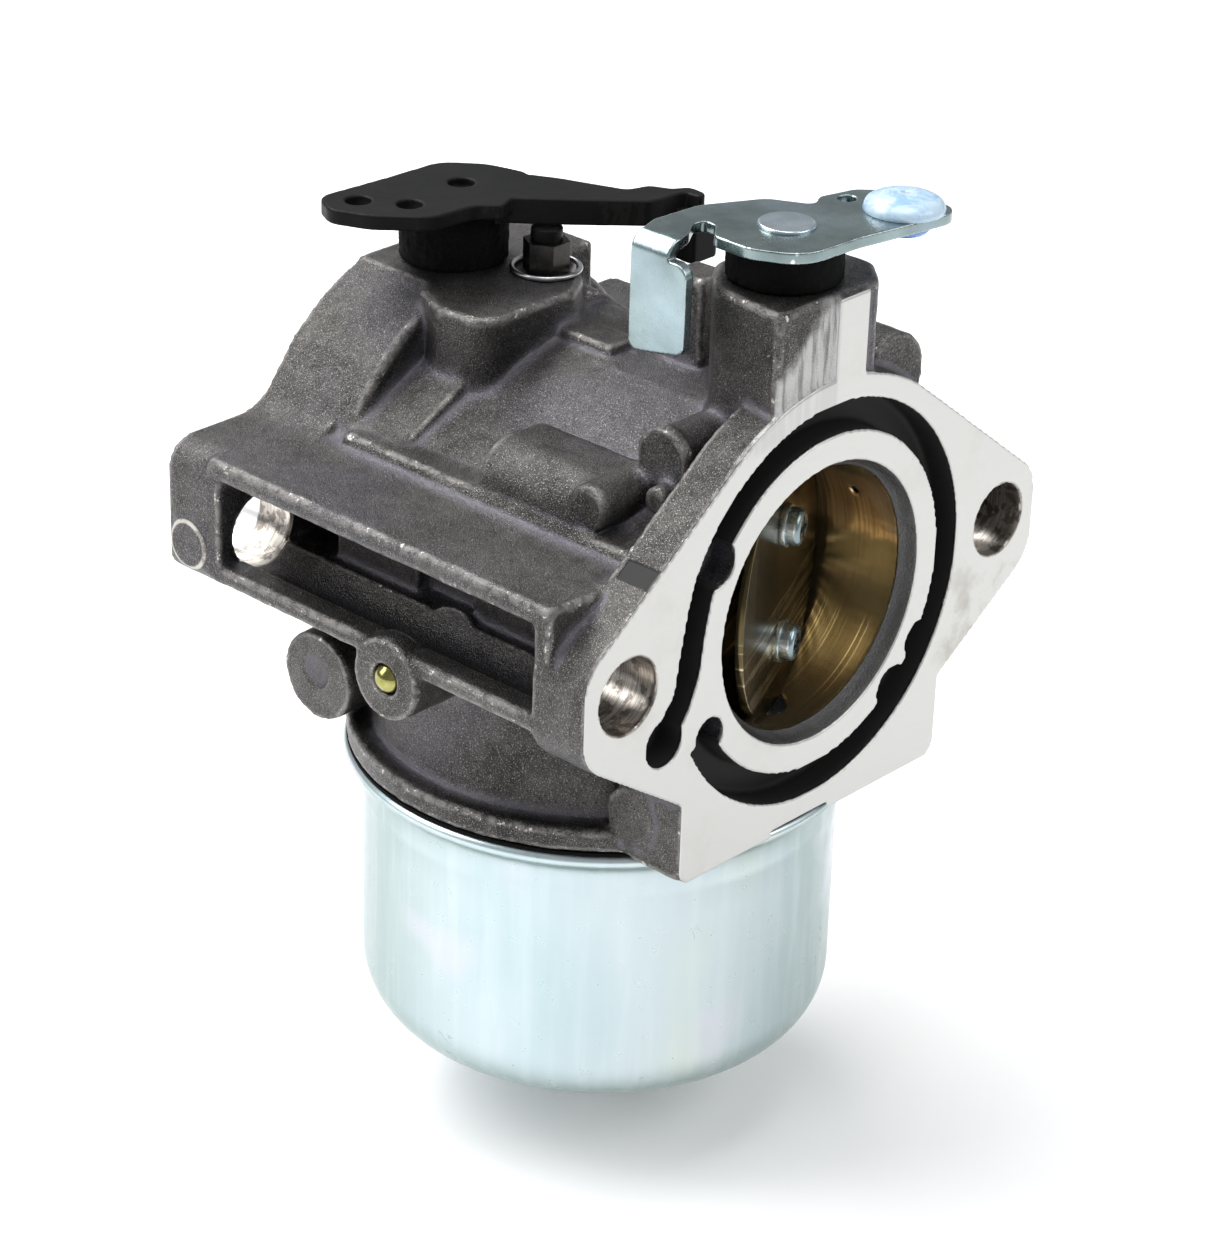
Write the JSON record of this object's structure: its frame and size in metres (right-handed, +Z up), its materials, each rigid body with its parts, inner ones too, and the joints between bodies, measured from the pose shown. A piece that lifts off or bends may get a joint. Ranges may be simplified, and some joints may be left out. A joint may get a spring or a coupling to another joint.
{
  "type": "float-bowl carburettor",
  "caption": "Small-engine float-bowl carburettor: slotted oval engine flange, bored venturi barrel, turning throttle and choke, steel bowl with float and needle below.",
  "frame": {"origin": "centre of the throttle bore on the machined face of the engine flange", "axes": "+Y along the bore from the engine to the air cleaner, +Z up, +X right as seen from the engine"},
  "size_m": [0.0756, 0.0609, 0.1066],
  "materials": {
    "die_cast": "as cast, fine grain, machined faces brighter",
    "zinc_plated_bowl": "satin zinc plating",
    "zinc_plated_steel": "bright zinc plating with sheared edges",
    "steel": "ground bright",
    "brass": "machined",
    "plated_plate": "smooth rolled sheet",
    "black_plastic": "satin moulded",
    "nylon": "translucent moulded",
    "black_rubber": "matt",
    "felt": "dense black felt",
    "fibre": "pressed red fibre",
    "float_plastic": "closed-cell moulded"
  },
  "bodies": {
    "casting": {"carb_body": "die_cast", "float_bowl": "zinc_plated_bowl", "bowl_gasket": "black_rubber", "bowl_nut": "zinc_plated_steel", "bowl_nut_washer": "fibre", "main_jet": "brass", "main_nozzle": "brass", "nozzle_seal_ring": "black_rubber", "float_hinge_pin": "steel", "inlet_seat": "brass", "fuel_inlet_pipe": "brass", "throttle_shaft_seal": "black_rubber", "choke_shaft_felt": "felt", "idle_mixture_screw": "brass", "mixture_screw_cap": "black_plastic", "mixture_screw_ring": "steel", "ball_plug": "brass", "main_air_jet": "brass", "idle_air_jet": "brass"},
    "throttle": {"throttle_shaft": "steel", "throttle_plate": "plated_plate", "throttle_plate_screws": "zinc_plated_steel", "screw_lock_washers": "zinc_plated_steel", "throttle_lever": "zinc_plated_steel", "link_bushing": "nylon"},
    "choke": {"choke_lever": "black_plastic", "choke_plate": "black_plastic"},
    "float": {"float": "float_plastic"},
    "needle": {"inlet_needle": "steel"}
  },
  "joints": [
    {"name": "throttle_turn", "type": "hinge", "parent": "casting", "child": "throttle", "pos_m": [0, 0.0072, 0], "axis": [0, 0, 1], "range_deg": [-25, 60]},
    {"name": "choke_turn", "type": "hinge", "parent": "casting", "child": "choke", "pos_m": [0, 0.0525, 0], "axis": [0, 0, 1], "range_deg": [0, 75]},
    {"name": "float_swing", "type": "hinge", "parent": "casting", "child": "float", "pos_m": [-0.0017, 0.0483, -0.0258], "axis": [-1, 0, 0], "range_deg": [0, 8]},
    {"name": "needle_slide", "type": "slide", "parent": "casting", "child": "needle", "axis": [0, 0, 1], "range_m": [0, 0.0009]}
  ],
  "couplings": [
    {"joint": "needle_slide", "follows": "float_swing", "m_per_rad": 0.0063}
  ]
}
